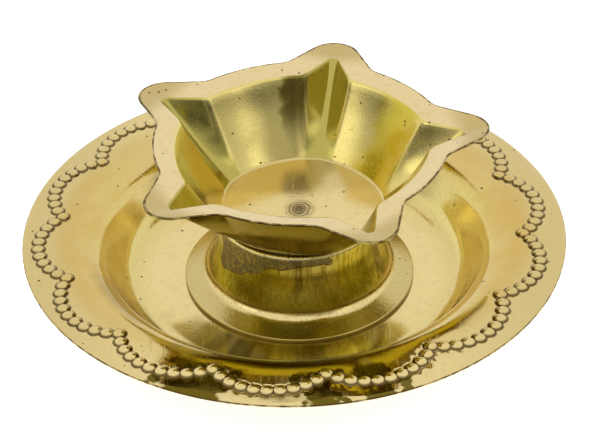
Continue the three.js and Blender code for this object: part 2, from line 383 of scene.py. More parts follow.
def bead_relief(x, y):
    """Height of the beads at points of the flange: overlapping domes in a shallow groove."""
    nearest = np.full(x.shape, np.inf)
    for bead_x, bead_y, facing in bead_places():
        across = (x - bead_x) * math.cos(facing) + (y - bead_y) * math.sin(facing)
        along = (y - bead_y) * math.cos(facing) - (x - bead_x) * math.sin(facing)
        reach = (2 * along / BEAD_ALONG) ** 2 + (2 * across / BEAD_ACROSS) ** 2
        nearest = np.minimum(nearest, reach)
    dome = BEAD_HEIGHT * np.clip(1 - nearest, 0, 1) ** BEAD_STEEPNESS
    off_groove = (np.sqrt(nearest) - BEAD_GROOVE_REACH) / BEAD_GROOVE_SPREAD
    groove = BEAD_GROOVE * np.exp(-(off_groove**2))
    return dome - groove


def scallop_radius(angles):
    """Radius of the border's middle line at angles round the plate, in radians."""
    places = bead_places()
    around = np.arctan2(places[:, 1], places[:, 0]) % (2 * math.pi)
    order = np.argsort(around)
    reach = np.hypot(places[:, 0], places[:, 1])[order]
    return np.interp(angles, around[order], reach, period=2 * math.pi)


def border_rows(angles, start, rows_across):
    """Radii of the outer rows at each angle, which follow the scallops across the border."""
    middle = scallop_radius(angles)[:, None]
    spread = np.linspace(-BORDER_HALF_WIDTH, BORDER_HALF_WIDTH, rows_across)[None, :]
    border = middle + spread
    shares = np.linspace(0, 1, BORDER_SIDE_ROWS)[None, 1:]
    inside = start + (border[:, :1] - start) * shares[:, :-1]
    edge = PLATE_RADIUS - PLATE_EDGE_ROUND
    outside = border[:, -1:] + (edge - border[:, -1:]) * shares
    return np.hstack([inside, border, outside])


def plate_face(lower, rows_across):
    """Columns of one face of the plate, from its middle outwards."""
    slope = math.radians(PLATE_WALL_ANGLE)
    cove = PLATE_COVE_RADIUS + PLATE_SHEET
    wall_foot = PLATE_FLOOR_RADIUS + cove * math.tan(slope / 2)
    wall_head = wall_foot + PLATE_DEPTH / math.tan(slope)
    line = rounded_line([
        (0, 0),
        (wall_foot, 0, cove),
        (wall_head, PLATE_DEPTH, PLATE_SHOULDER_RADIUS - PLATE_SHEET),
        (PLATE_RADIUS, PLATE_DEPTH),
    ])
    line = line if lower else beside_line(line, PLATE_SHEET)
    line = with_supports(line, PLATE_SUPPORT_INSET)[1:]
    clear = line[line[:, 0] < BORDER_CLEAR_RADIUS]
    count = SCALLOP_COUNT * BEADS_PER_SCALLOP * COLUMNS_PER_BEAD
    angles = np.arange(count) * 2 * math.pi / count
    inner = spun(clear, count)
    radii = border_rows(angles, clear[-1, 0], rows_across)
    x = radii * np.cos(angles)[:, None]
    y = radii * np.sin(angles)[:, None]
    z = np.interp(radii, line[:, 0], line[:, 1]) + bead_relief(x, y)
    face = np.concatenate([inner, np.stack([x, y, z], axis=2)], axis=1)
    turn = PLATE_EDGE_ROUND if lower else -PLATE_EDGE_ROUND
    edge = np.stack([
        PLATE_RADIUS * np.cos(angles),
        PLATE_RADIUS * np.sin(angles),
        np.full(count, line[-1, 1] + turn),
    ], axis=1)
    return np.concatenate([face, edge[:, None, :]], axis=1)


def make_plate():
    plate = sheet_piece(
        "plate_sheet", plate_face(False, BORDER_UPPER_ROWS), plate_face(True, BORDER_LOWER_ROWS)
    )
    crease_edges(plate, SHEET_CREASE_ANGLE)
    return plate


# Stem


def make_stem():
    line = rounded_line([
        (FOOT_RADIUS, 0),
        (FOOT_RADIUS, FOOT_EDGE_HEIGHT, FOOT_EDGE_ROUND),
        (STEM_FOOT_RADIUS, STEM_FOOT_HEIGHT, STEM_FOOT_ROUND),
        (STEM_BELLY_RADIUS, STEM_BELLY_HEIGHT, STEM_BELLY_ROUND),
        (STEM_WAIST_RADIUS, STEM_WAIST_HEIGHT, STEM_WAIST_ROUND),
        (STEM_TOP_RADIUS, STEM_HEIGHT, STEM_TOP_ROUND),
        (STEM_MOUTH_RADIUS, STEM_HEIGHT),
    ])
    line = with_supports(line, STEM_SUPPORT_INSET)
    section = np.vstack([line, beside_line(line, STEM_SHEET)[::-1]])
    stem = ring_piece("stem_sheet", spun(section, STEM_COLUMNS, STEM_CENTRE, STEM_BOTTOM))
    crease_edges(stem, STEM_CREASE_ANGLE)
    return stem


# Bowl


def arc_radius(centre, radius, angle):
    """Radius, at an angle, of an arc whose centre lies at a distance along the zero angle."""
    return centre * np.cos(angle) + np.sqrt(radius**2 - (centre * np.sin(angle)) ** 2)


def blended_larger(a, b, blend):
    """The larger of two values, with a soft change from one to the other."""
    share = np.clip(0.5 + 0.5 * (a - b) / blend, 0, 1)
    return b + (a - b) * share + blend * share * (1 - share)


def outline_radius(outline, angle):
    """Radius of a star outline at angles from its nearest point, in radians."""
    centre = outline["point"] - outline["point_round"]
    notch_angle = math.radians(outline["notch_angle"])
    notch_x = outline["notch"] * math.cos(notch_angle) - centre
    notch_y = outline["notch"] * math.sin(notch_angle)
    towards = math.atan2(notch_y, notch_x)
    touching = towards - math.acos(outline["point_round"] / math.hypot(notch_x, notch_y))
    side_distance = centre * math.cos(touching) + outline["point_round"]
    touch_x = centre + outline["point_round"] * math.cos(touching)
    touch_y = outline["point_round"] * math.sin(touching)
    near = np.minimum(angle, math.atan2(touch_y, touch_x))
    point = np.where(
        angle > near,
        side_distance / np.cos(touching - angle),
        arc_radius(centre, outline["point_round"], near),
    )
    panel_centre = outline["panel"] - outline["panel_bend"]
    panel = arc_radius(panel_centre, outline["panel_bend"], math.pi / POINT_COUNT - angle)
    return blended_larger(point, panel, outline["blend"])


def bowl_angles():
    """Angles round the bowl, crowded towards the points, and each one's angle from a point."""
    half = COLUMNS_PER_POINT // 2
    step = np.arange(-half, half) / half
    away = (math.pi / POINT_COUNT) * np.abs(step) ** BOWL_CROWDING
    offset = np.sign(step) * away
    middles = np.arange(POINT_COUNT) * 2 * math.pi / POINT_COUNT
    around = (middles[:, None] + offset[None, :]).ravel()
    return around, np.tile(away, POINT_COUNT)


def bowl_section(floor, cavity, flange):
    """Points of one section of the bowl's upper face, from the radii of its three edges."""
    rim_height = BOWL_SHEET + BOWL_DEPTH
    middle = np.array((0, BOWL_SHEET))
    floor_edge = np.array((floor, BOWL_SHEET))
    cavity_edge = np.array((cavity, rim_height))
    flange_edge = np.array((flange, rim_height + FLANGE_RISE))
    floor_arc = rounded_corner(
        middle, floor_edge, cavity_edge, BOWL_FLOOR_ROUND, BOWL_ARC_STEPS
    )
    rim_arc = rounded_corner(
        floor_edge, cavity_edge, flange_edge, BOWL_RIM_ROUND, BOWL_ARC_STEPS
    )
    shares = np.linspace(0, 1, BOWL_WALL_STEPS)[1:-1]
    wall = np.array(points_between(floor_arc[-1], rim_arc[0], shares))
    along = (rim_arc[0] - floor_arc[-1]) / np.linalg.norm(rim_arc[0] - floor_arc[-1])
    wall += np.outer(4 * BOWL_WALL_BULGE * shares * (1 - shares), (along[1], -along[0]))
    return np.vstack([
        points_between(middle, floor_arc[0], BOWL_FLOOR_SHARES),
        floor_arc,
        wall,
        rim_arc,
        points_between(rim_arc[-1], flange_edge, FLANGE_SHARES),
    ])


def bowl_face():
    """Columns of the bowl's upper face, with one point of the star along +X."""
    around, away = bowl_angles()
    floor = BOWL_FLOOR_RADIUS + BOWL_FLOOR_CORNER * np.cos(POINT_COUNT * away)
    cavity = outline_radius(CAVITY_OUTLINE, away)
    flange = outline_radius(FLANGE_OUTLINE, away)
    sections = np.array([bowl_section(*edges) for edges in zip(floor, cavity, flange)])
    x = sections[:, :, 0] * np.cos(around)[:, None]
    y = sections[:, :, 0] * np.sin(around)[:, None]
    return np.stack([x, y, sections[:, :, 1]], axis=2), flange, around


def face_normals(columns):
    """Normals at the points of an upper face, from its neighbouring rows and columns."""
    across = np.roll(columns, -1, axis=0) - np.roll(columns, 1, axis=0)
    outwards = np.gradient(columns, axis=1)
    normals = np.cross(outwards, across)
    return normals / np.linalg.norm(normals, axis=2)[:, :, None]


def make_bowl():
    upper, flange, around = bowl_face()
    lower = upper - face_normals(upper) * BOWL_SHEET
    heights = np.full(len(around), BOWL_DEPTH + FLANGE_RISE + BOWL_SHEET / 2)
    edge = np.stack([flange * np.cos(around), flange * np.sin(around), heights], axis=1)
    upper_edge = edge + (0, 0, BOWL_SHEET / 4)
    lower_edge = edge - (0, 0, BOWL_SHEET / 4)
    upper = np.concatenate([upper, upper_edge[:, None, :]], axis=1)
    lower = np.concatenate([lower, lower_edge[:, None, :]], axis=1)
    turn = math.radians(FIRST_POINT_ANGLE)
    faces = []
    for face in (upper, lower):
        x = face[:, :, 0] * math.cos(turn) - face[:, :, 1] * math.sin(turn) + BOWL_CENTRE[0]
        y = face[:, :, 0] * math.sin(turn) + face[:, :, 1] * math.cos(turn) + BOWL_CENTRE[1]
        faces.append(np.stack([x, y, face[:, :, 2] + BOWL_BOTTOM], axis=2))
    bowl = sheet_piece("bowl_sheet", *faces)
    crease_edges(bowl, SHEET_CREASE_ANGLE)
    return bowl


# Solder seams


def make_bowl_seam():
    outer = STEM_TOP_RADIUS - BOWL_SEAM_INSET
    section = rounded_line([
        (outer - BOWL_SEAM_WIDTH, 0),
        (outer, 0, SEAM_EDGE_ROUND),
        (outer, BOWL_SEAM_THICKNESS, SEAM_EDGE_ROUND),
        (outer - BOWL_SEAM_WIDTH, BOWL_SEAM_THICKNESS),
    ])
    return ring_piece("bowl_seam", spun(section, STEM_COLUMNS, STEM_CENTRE, BOWL_SEAM_BOTTOM))


def make_foot_seam():
    outer = FOOT_RADIUS - STEM_SHEET - FOOT_SEAM_GAP
    section = rounded_line([
        (outer - FOOT_SEAM_WIDTH, 0),
        (outer, 0, SEAM_EDGE_ROUND),
        (outer, FOOT_SEAM_HEIGHT / 3, SEAM_EDGE_ROUND),
        (outer - FOOT_SEAM_WIDTH / 2, FOOT_SEAM_HEIGHT, FOOT_SEAM_ROUND),
        (outer - FOOT_SEAM_WIDTH, FOOT_SEAM_HEIGHT / 3),
    ])
    return ring_piece("foot_seam", spun(section, STEM_COLUMNS, STEM_CENTRE, STEM_BOTTOM))


# Material nodes


class Tree:
    """A node tree with short calls for the nodes that the materials need."""

    def __init__(self, tree):
        self.tree = tree
        tree.nodes.clear()

    def node(self, kind, inputs=None, **settings):
        made = self.tree.nodes.new(kind)
        for name, value in settings.items():
            setattr(made, name, value)
        for name, value in (inputs or {}).items():
            self.feed(made.inputs[name], value)
        return made

    def feed(self, socket, value):
        if isinstance(value, bpy.types.NodeSocket):
            self.tree.links.new(value, socket)
        elif socket.type == "RGBA" and len(value) == 3:
            socket.default_value = (*value, 1)
        else:
            socket.default_value = value

    def maths(self, operation, a, b=0.0):
        made = self.node("ShaderNodeMath", operation=operation)
        self.feed(made.inputs[0], a)
        self.feed(made.inputs[1], b)
        return made.outputs[0]

    def plus(self, a, b):
        return self.maths("ADD", a, b)

    def minus(self, a, b):
        return self.maths("SUBTRACT", a, b)

    def times(self, a, b):
        return self.maths("MULTIPLY", a, b)

    def larger(self, a, b):
        return self.maths("MAXIMUM", a, b)

    def apart(self, a, b):
        """How far two values are from each other."""
        return self.maths("ABSOLUTE", self.minus(a, b))

    def rest(self, share):
        """What a share leaves of 1."""
        return self.minus(1.0, share)

    def azimuth(self, place, zero=0.0):
        """Angle of a place about Z, in degrees from a zero angle."""
        angle = self.maths("ARCTAN2", self.part(place, "Y"), self.part(place, "X"))
        return self.minus(self.times(angle, math.degrees(1)), zero)

    def off_whole(self, value, period):
        """How far a value is from the nearest whole number of periods."""
        whole = self.maths("ROUND", self.maths("DIVIDE", value, period))
        return self.minus(value, self.times(whole, period))

    def hypotenuse(self, a, b):
        squares = self.plus(self.maths("POWER", a, 2.0), self.maths("POWER", b, 2.0))
        return self.maths("SQRT", squares)

    def vector(self, operation, a, b=None, output="Vector"):
        made = self.node("ShaderNodeVectorMath", operation=operation)
        self.feed(made.inputs[0], a)
        if b is not None:
            self.feed(made.inputs[1], b)
        return made.outputs[output]

    def between(self, value, low, high, to_low=0.0, to_high=1.0):
        """Smooth rise from one value to another while the input goes from low to high."""
        inputs = {"Value": value, "From Min": low, "From Max": high}
        inputs.update({"To Min": to_low, "To Max": to_high})
        made = self.node("ShaderNodeMapRange", inputs, interpolation_type="SMOOTHSTEP")
        return made.outputs["Result"]

    def ring(self, reach, edges):
        """1 in a ring with soft edges, given as where it starts, is full, fades and ends."""
        start, full, fading, end = edges
        rise = self.between(reach, start, full)
        return self.times(rise, self.between(reach, fading, end, 1.0, 0.0))

    def mixed(self, share, a, b):
        """Colour a where the share is 0, and colour b where it is 1."""
        made = self.node("ShaderNodeMix", data_type="RGBA")
        self.feed(made.inputs["Factor"], share)
        self.feed(made.inputs[6], a)
        self.feed(made.inputs[7], b)
        return made.outputs[2]

    def noise(self, place, scale, detail=2.0, roughness=0.5):
        inputs = {"Vector": place, "Scale": scale, "Detail": detail, "Roughness": roughness}
        return self.node("ShaderNodeTexNoise", inputs).outputs["Fac"]

    def places_mm(self):
        """Place on the object, in millimetres."""
        place = self.node("ShaderNodeTexCoord").outputs["Object"]
        return self.vector("MULTIPLY", place, (1 / MM,) * 3)

    def level_distance(self, place, x, y):
        """Distance from an upright line through x, y."""
        flat = self.vector("MULTIPLY", self.vector("SUBTRACT", place, (x, y, 0)), (1, 1, 0))
        return self.vector("LENGTH", flat, output="Value")

    def part(self, place, axis):
        return self.node("ShaderNodeSeparateXYZ", {"Vector": place}).outputs[axis]

    def bump(self, height, distance, normal=None):
        """Bump whose height of 1 stands a distance in millimetres proud."""
        inputs = {"Height": height, "Distance": distance * MM, "Strength": 1.0}
        if normal is not None:
            inputs["Normal"] = normal
        return self.node("ShaderNodeBump", inputs).outputs["Normal"]

    def surface(self, **inputs):
        names = {name.replace("_", " "): value for name, value in inputs.items()}
        shader = self.node("ShaderNodeBsdfPrincipled", names).outputs["BSDF"]
        self.node("ShaderNodeOutputMaterial", {"Surface": shader})


def new_material(name):
    material = bpy.data.materials.new(name)
    material.use_nodes = True
    return material, Tree(material.node_tree)


# Marks that several pieces share


def facing_up(tree):
    """Upward share of the surface's direction: 1 on a level top and -1 on a level underside."""
    return tree.part(tree.node("ShaderNodeTexCoord").outputs["Normal"], "Z")


def bands(tree, place, centre, streaks, full_share=0.3):
    """Upright bands round a centre, each full over a share of its half width and then fading."""
    around = tree.azimuth(tree.vector("SUBTRACT", place, (*centre, 0)))
    wander = tree.between(tree.noise(place, 0.25, 2.0), 0.3, 0.7, -3, 3)
    around = tree.plus(around, wander)
    share = 0.0
    for angle, half_width, strength in streaks:
        off = tree.maths("ABSOLUTE", tree.off_whole(tree.minus(around, angle), 360))
        streak = tree.between(off, half_width * full_share, half_width, strength, 0.0)
        share = tree.larger(share, streak)
    return share


def pits(tree, place, spacing, share):
    """Small ragged pits, crowded in places: 1 inside a pit and 0 elsewhere."""
    wander = tree.node("ShaderNodeTexNoise", {"Vector": place, "Scale": 2.2}).outputs["Color"]
    ragged = tree.vector("ADD", place, tree.vector("MULTIPLY", wander, (0.9, 0.9, 0.9)))
    cells = tree.node("ShaderNodeTexVoronoi", {"Vector": ragged, "Scale": 1 / spacing})
    chance = tree.part(cells.outputs["Color"], "X")
    crowd = tree.between(tree.noise(place, 0.07, 2.0), 0.42, 0.68, share * 0.3, share * 2.2)
    chosen = tree.maths("LESS_THAN", chance, crowd)
    return tree.times(chosen, tree.between(cells.outputs["Distance"], 0.07, 0.15, 1.0, 0.0))


def scratches(tree, place, turn, scale):
    """Fine straight scratches in one direction."""
    mapped = tree.node("ShaderNodeMapping", {
        "Vector": place,
        "Rotation": (0, 0, math.radians(turn)),
        "Scale": (scale, scale * 0.04, scale),
    }).outputs["Vector"]
    return tree.between(tree.noise(mapped, 1.0, 1.0), 0.66, 0.72)


def grained(tree, place, colour):
    """The colour with fine dull grain."""
    grain = tree.between(tree.noise(place, 0.8, 5.0, 0.7), 0.48, 0.7, 0.0, 0.3)
    return tree.mixed(grain, colour, DIM_BRASS)


def edge_burr_and_shade(tree, place):
    """Dark burr and painted shade along the sheet's cut edge, broken here and there."""
    share = tree.node("ShaderNodeAttribute", attribute_name="edge_share").outputs["Fac"]
    broken = tree.between(tree.noise(place, 0.5, 3.0), 0.35, 0.6, 0.35, 0.95)
    return tree.times(tree.between(share, 0.05, 0.35), broken)


def polish(tree, place, colour, turns, smudge_scale, smudge_roughness, waves, grain):
    """Hand polished sheet: smudges, two sets of scratches, slow waves and fine grain."""
    first, second = turns
    lines = tree.plus(scratches(tree, place, first, 2.2), scratches(tree, place, second, 1.7))
    smudges = tree.noise(place, smudge_scale, 4.0, 0.6)
    smudges = tree.between(smudges, 0.3, 0.8, *smudge_roughness)
    roughness = tree.plus(smudges, tree.times(lines, 0.06))
    wavy = tree.bump(tree.noise(place, 0.07, 1.0), waves)
    grainy = tree.bump(tree.noise(place, 1.6, 2.0), grain, normal=wavy)
    normal = tree.bump(lines, -0.006, normal=grainy)
    tree.surface(Base_Color=colour, Metallic=1.0, Roughness=roughness, Normal=normal)


# Finish of the plate


def plate_brass():
    material, tree = new_material("plate_brass")
    place = tree.places_mm()
    reach = tree.level_distance(place, 0, 0)
    colour = grained(tree, place, plate_colour(tree, place, reach))
    colour = plate_sides(tree, place, reach, colour)
    fine_stain = tree.between(tree.noise(place, 0.35, 4.0, 0.6), 0.58, 0.75, 0.0, 0.35)
    colour = tree.mixed(fine_stain, colour, TAN_BRASS)
    from_bead = bead_reach(tree, place)
    # Painted dark reflections in the plate's front
    colour = tree.mixed(front_dark_reflections(tree, place, reach, from_bead), colour, PAINTED_DARK_BRASS)
    colour = tree.mixed(pits(tree, place, 3.0, 0.25), colour, BROWN_GRIME_AND_SHADE)
    # Painted shade round the foot of each bead
    colour = tree.mixed(bead_foot_shade(tree, reach, from_bead), colour, BROWN_GRIME_AND_SHADE)
    # Dark burr and painted shade along the cut edge
    colour = tree.mixed(edge_burr_and_shade(tree, place), colour, BROWN_GRIME_AND_SHADE)
    polish(tree, place, colour, (35, -50), 0.12, (0.08, 0.18), 0.35, 0.008)
    return material


def plate_colour(tree, place, reach):
    """Cream brass with a patchy tan wall, and a painted yellow reflection on parts of its steep
    middle.
    """
    patches = tree.between(tree.noise(place, 0.06, 3.0), 0.38, 0.62)
    wall = tree.mixed(patches, TAN_BRASS, DULL_TAN_BRASS)
    colour = tree.mixed(tree.ring(reach, WALL_RING), CREAM_BRASS, wall)
    wall_reflection = bands(tree, place, PLATE_CENTRE, WALL_BRIGHT_REFLECTION)
    wall_reflection = tree.times(tree.ring(reach, STEEP_WALL_RING), wall_reflection)
    return tree.mixed(wall_reflection, colour, WALL_YELLOW_BRASS)


def plate_sides(tree, place, reach, colour):
    """The plate's colour with a dull brim and a deep tan shoulder on its left and right."""
    beside = tree.between(tree.maths("ABSOLUTE", tree.part(place, "X")), 22, 56)
    dull = tree.times(beside, tree.between(reach, 47, 54, 0.0, 0.55))
    colour = tree.mixed(dull, colour, DIM_BRASS)
    shoulder = tree.times(tree.ring(reach, DEEP_TAN_RING), tree.times(beside, 0.85))
    uneven = tree.between(tree.noise(place, 0.09, 4.0, 0.6), 0.3, 0.6, 0.4, 1.0)
    return tree.mixed(tree.times(shoulder, uneven), colour, DEEP_TAN_BRASS)


def front_dark_reflections(tree, place, reach, from_bead):
    """Painted dark reflections in the plate's front: streaky bands before the foot and patches
    further out.
    """
    radial = tree.noise(tree.vector("NORMALIZE", place), 8.0, 2.0)
    streaks = tree.between(radial, 0.35, 0.6, 0.35, 1.0)
    on_floor = bands(tree, place, PLATE_CENTRE, FLOOR_DARK_REFLECTION)
    on_floor = tree.times(tree.times(tree.ring(reach, FLOOR_DARK_REFLECTION_RING), on_floor), streaks)
    on_wall = bands(tree, place, PLATE_CENTRE, WALL_DARK_REFLECTION)
    on_wall = tree.times(tree.ring(reach, WALL_DARK_REFLECTION_RING), on_wall)
    on_shoulder = bands(tree, place, PLATE_CENTRE, SHOULDER_DARK_REFLECTION)
    on_shoulder = tree.times(tree.ring(reach, SHOULDER_DARK_REFLECTION_RING), on_shoulder)
    on_brim = bands(tree, place, PLATE_CENTRE, BRIM_DARK_REFLECTION, 0.75)
    off_beads = tree.times(tree.between(reach, 51, 53), tree.between(from_bead, 0.95, 1.1))
    on_brim = tree.times(on_brim, off_beads)
    return tree.larger(tree.larger(on_floor, on_brim), tree.larger(on_wall, on_shoulder))


def bead_reach(tree, place):
    """Distance from the nearest bead's middle, where 1 is the bead's foot."""
    half_scallop, bend, half_sweep = scallop_arc()
    centred = tree.vector("SUBTRACT", place, (BORDER_OFFSET_X, BORDER_OFFSET_Y, 0))
    first_middle = FIRST_CUSP_ANGLE + math.degrees(half_scallop)
    folded = tree.off_whole(tree.azimuth(centred, first_middle), 360 / SCALLOP_COUNT)
    folded = tree.times(folded, math.radians(1))
    reach = tree.level_distance(centred, 0, 0)
    from_bend = tree.times(reach, tree.maths("COSINE", folded))
    from_bend = tree.minus(from_bend, SCALLOP_CREST_RADIUS - bend)
    beside = tree.times(reach, tree.maths("SINE", folded))
    sweep = tree.plus(tree.maths("ARCTAN2", beside, from_bend), half_sweep)
    along = tree.times(tree.off_whole(sweep, 2 * half_sweep / BEADS_PER_SCALLOP), bend)
    across = tree.minus(tree.hypotenuse(from_bend, beside), bend)
    along = tree.times(along, 2 / BEAD_ALONG)
    return tree.hypotenuse(along, tree.times(across, 2 / BEAD_ACROSS))


def bead_foot_shade(tree, reach, from_bead):
    """Painted shade: a dark line round the foot of each bead."""
    line = tree.between(tree.apart(from_bead, 1.0), 0.05, 0.28, 0.92, 0.0)
    return tree.times(line, tree.between(reach, 46, 47))


# Finish of the bowl


def bowl_brass():
    material, tree = new_material("bowl_brass")
    place = tree.places_mm()
    height = tree.part(place, "Z")
    up = facing_up(tree)
    steep = tree.between(up, 0.93, 0.75)
    on_flange = tree.between(height, BOWL_BOTTOM + 16.5, BOWL_BOTTOM + 17.5)
    colour = grained(tree, place, tree.mixed(on_flange, CREAM_BRASS, PALE_BRASS))
    colour = tree.mixed(steep, colour, YELLOW_BRASS)
    colour = bowl_reflections_and_stains(tree, place, height, steep, on_flange, colour)
    # Painted shade in the wick channels
    channels = tree.times(channel_shade_share(tree, place), steep)
    colour = tree.mixed(channels, colour, CHANNEL_BRASS)
    patches = tree.between(tree.noise(place, 0.12, 4.0, 0.6), 0.5, 0.75, 0.0, 0.5)
    colour = tree.mixed(tree.times(patches, tree.rest(steep)), colour, TAN_BRASS)
    # Painted shade on surfaces that face down
    colour = tree.mixed(tree.between(up, 0.1, -0.2), colour, SHADED_UNDERSIDE_BRASS)
    colour = tree.mixed(pits(tree, place, 2.4, 0.3), colour, BROWN_GRIME_AND_SHADE)
    colour = tree.mixed(centre_mark(tree, place, height), colour, BROWN_GRIME_AND_SHADE)
    # Dark burr and painted shade along the cut edge
    colour = tree.mixed(edge_burr_and_shade(tree, place), colour, BROWN_GRIME_AND_SHADE)
    polish(tree, place, colour, (20, -65), 0.15, (0.12, 0.22), 0.3, 0.010)
    return material


def bowl_reflections_and_stains(tree, place, height, steep, on_flange, colour):
    """The bowl's colour with painted reflections, olive on its sides and a dark spot, painted
    shade on the back of its floor, and dull stains on its points.
    """
    # Painted reflections on the bowl's sides
    left = tree.times(bands(tree, place, BOWL_CENTRE, BOWL_LEFT_REFLECTION), steep)
    colour = tree.mixed(left, colour, PALE_OLIVE_BRASS)
    right = tree.times(bands(tree, place, BOWL_CENTRE, BOWL_RIGHT_REFLECTION), steep)
    colour = tree.mixed(right, colour, SIDE_BRASS)
    # Painted dark reflection as a spot at the back
    high = tree.between(height, BOWL_BOTTOM + 3, BOWL_BOTTOM + 12)
    spot = tree.times(bands(tree, place, BOWL_CENTRE, BOWL_SPOT_REFLECTION), high)
    colour = tree.mixed(tree.times(spot, steep), colour, PAINTED_DARK_BRASS)
    # Painted shade on the back of the floor
    back = tree.between(tree.part(place, "Y"), 4, 8, 0.0, 0.5)
    low = tree.between(height, BOWL_BOTTOM + 0.9, BOWL_BOTTOM + 1.4, 1.0, 0.0)
    colour = tree.mixed(tree.times(back, low), colour, DIM_BRASS)
    tips = tree.between(tree.level_distance(place, *BOWL_CENTRE), 33.5, 39, 0.0, 0.9)
    return tree.mixed(tree.times(tips, on_flange), colour, DIM_BRASS)


def channel_shade_share(tree, place):
    """Share of the painted shade in the wick channels, left out of the bright one on the right."""
    centred = tree.vector("SUBTRACT", place, (*BOWL_CENTRE, 0))
    from_point = tree.off_whole(tree.azimuth(centred, FIRST_POINT_ANGLE), 360 / POINT_COUNT)
    near_point = tree.between(tree.maths("ABSOLUTE", from_point), 8.5, 11.5, 1.0, 0.0)
    return tree.times(near_point, tree.rest(bands(tree, place, BOWL_CENTRE, BRIGHT_CHANNEL)))


def centre_mark(tree, place, height):
    """Dark spinning mark in the middle of the bowl's floor: ragged rings that fade outwards."""
    wobble = tree.times(tree.noise(place, 0.3, 3.0), MARK_WOBBLE)
    reach = tree.plus(tree.level_distance(place, *MARK_CENTRE), wobble)
    rings = tree.between(tree.maths("SINE", tree.times(reach, MARK_RINGS)), -0.3, 0.8)
    fade = tree.between(reach, 3.2, 5.8, 0.95, 0.0)
    core = tree.between(reach, 2.2, 3.4, 0.85, 0.0)
    shade = tree.larger(tree.times(rings, fade), core)
    shade = tree.larger(shade, tree.times(fade, 0.45))
    low = tree.between(height, BOWL_BOTTOM + 0.9, BOWL_BOTTOM + 1.1, 1.0, 0.0)
    return tree.times(shade, low)


# Finish of the stem


def stem_brass():
    material, tree = new_material("stem_brass")
    place = tree.places_mm()
    height = tree.part(place, "Z")
    stretched = tree.vector("MULTIPLY", place, (1.4, 1.4, 0.05))
    streaks = tree.noise(stretched, 1.0, 4.0, 0.65)
    on_wall = tree.between(height, STEM_BOTTOM + 3.2, STEM_BOTTOM + 5)
    wall = stem_wall(tree, place, height, streaks)
    colour = tree.mixed(on_wall, stem_cone(tree, place, height), wall)
    # Painted shadow along the foot's bottom edge
    on_edge = tree.between(height, STEM_BOTTOM + 0.75, STEM_BOTTOM + 0.5, 0.0, 0.85)
    colour = tree.mixed(on_edge, colour, PAINTED_DARK_BRASS)
    # Painted highlight just under the top
    under_top = tree.between(height, STEM_TOP - 1.2, STEM_TOP - 0.3, 0.0, 0.8)
    colour = tree.mixed(under_top, colour, CREAM_BRASS)
    colour = tree.mixed(pits(tree, place, 1.6, 0.7), colour, BROWN_GRIME_AND_SHADE)
    smear = solder_smear(tree, place, height)
    colour = smeared(tree, place, smear, colour)
    roughness = tree.between(streaks, 0.3, 0.7, 0.12, 0.2)
    roughness = tree.plus(roughness, tree.times(on_wall, 0.1))
    roughness = tree.plus(roughness, tree.times(smear, 0.15))
    lumps = tree.times(tree.noise(place, 1.1, 3.0, 0.6), smear)
    normal = tree.bump(streaks, 0.04, normal=tree.bump(lumps, 0.25))
    tree.surface(Base_Color=colour, Metallic=1.0, Roughness=roughness, Normal=normal)
    return material


def stem_cone(tree, place, height):
    """Colour of the stem's coned foot, darker in front with a painted reflection, and with a
    painted cream highlight line under the wall.
    """
    front = bands(tree, place, STEM_CENTRE, CONE_FRONT_REFLECTION)
    colour = tree.mixed(front, CONE_BRASS, DARK_OLIVE_BRASS)
    off_line = tree.between(tree.apart(height, STEM_BOTTOM + 2.9), 0.3, 0.8)
    colour = tree.mixed(off_line, CREAM_BRASS, colour)
    grain = tree.between(tree.noise(place, 1.5, 3.0, 0.7), 0.5, 0.66, 0.0, 0.75)
    return tree.mixed(grain, colour, DIM_BRASS)


def stem_wall(tree, place, height, streaks):
    """Colour of the stem's wall: an olive base darkened as painted shade, painted reflections in
    upright bands, and brushed streaks.
    """
    high = tree.between(height, 4, 14)
    # Painted reflections, pale, bright and dark, in upright bands
    pale_reflection = tree.times(bands(tree, place, STEM_CENTRE, STEM_PALE_REFLECTION), high)
    colour = tree.mixed(pale_reflection, OLIVE_BRASS, PALE_OLIVE_BRASS)
    bright = tree.times(bands(tree, place, STEM_CENTRE, STEM_BRIGHT_REFLECTION), high)
    colour = tree.mixed(bright, colour, BRIGHT_YELLOW_BRASS)
    dark = tree.times(bands(tree, place, STEM_CENTRE, STEM_DARK_REFLECTION), tree.rest(high))
    colour = tree.mixed(dark, colour, DARK_OLIVE_BRASS)
    middle = tree.times(bands(tree, place, STEM_CENTRE, STEM_MIDDLE_REFLECTION), high)
    sides = bands(tree, place, STEM_CENTRE, STEM_SIDE_REFLECTIONS)
    colour = tree.mixed(tree.larger(middle, sides), colour, PAINTED_DARK_BRASS)
    colour = tree.mixed(tree.between(streaks, 0.5, 0.65, 0.0, 0.7), colour, DARK_OLIVE_BRASS)
    return tree.mixed(tree.between(streaks, 0.48, 0.36, 0.0, 0.6), colour, PALE_OLIVE_BRASS)


